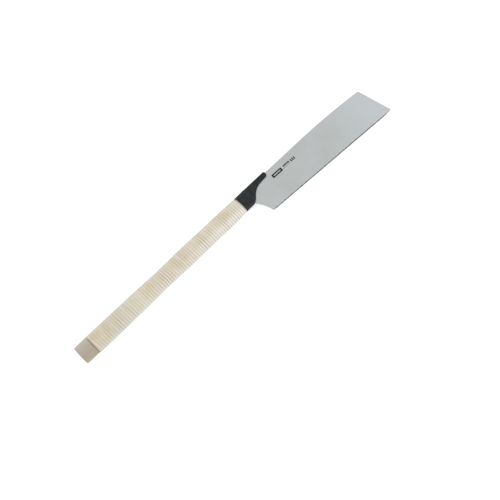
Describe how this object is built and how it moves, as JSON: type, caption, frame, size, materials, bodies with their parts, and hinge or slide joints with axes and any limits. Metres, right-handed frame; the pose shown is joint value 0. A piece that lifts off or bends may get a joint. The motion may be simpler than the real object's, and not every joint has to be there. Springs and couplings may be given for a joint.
{
  "type": "pull saw with replaceable blade",
  "caption": "Single-edge pull saw: rattan-bound oval wooden handle, black folded steel head and a thin steel blade that hooks over a pin in the head and swings out for replacement.",
  "frame": {"origin": "centre of the flat butt end of the handle", "axes": "+X from the butt along the handle to the blade's toe, +Y towards the blade's spine, +Z square to the blade"},
  "size_m": [0.6571, 0.0794, 0.0226],
  "materials": {
    "blade_steel": "satin, faint lengthwise grain, dark teeth",
    "black_steel": "satin black paint",
    "collar_metal": "satin",
    "rattan": "close-wound split rattan, low sheen",
    "handle_wood": "bare, smooth sanded",
    "spring_steel": "bright spring steel",
    "rivet_steel": "plain steel"
  },
  "bodies": {
    "handle": {"head_shell": "black_steel", "front_collar": "collar_metal", "rattan_wrap": "rattan", "handle_core": "handle_wood", "blade_clamp": "spring_steel", "tang_spacer": "rivet_steel", "hook_pin": "rivet_steel", "detent_boss_front": "rivet_steel", "detent_boss_back": "rivet_steel", "neck_rivet_upper": "rivet_steel", "neck_rivet_lower": "rivet_steel", "tang_rivet_front": "rivet_steel", "tang_rivet_rear": "rivet_steel"},
    "blade": {"blade": "blade_steel"}
  },
  "joints": [
    {"name": "blade_swing", "type": "hinge", "parent": "handle", "child": "blade", "pos_m": [0.3555, -0.003, 0], "axis": [0, 0, 1], "range_deg": [-72, 0]}
  ]
}
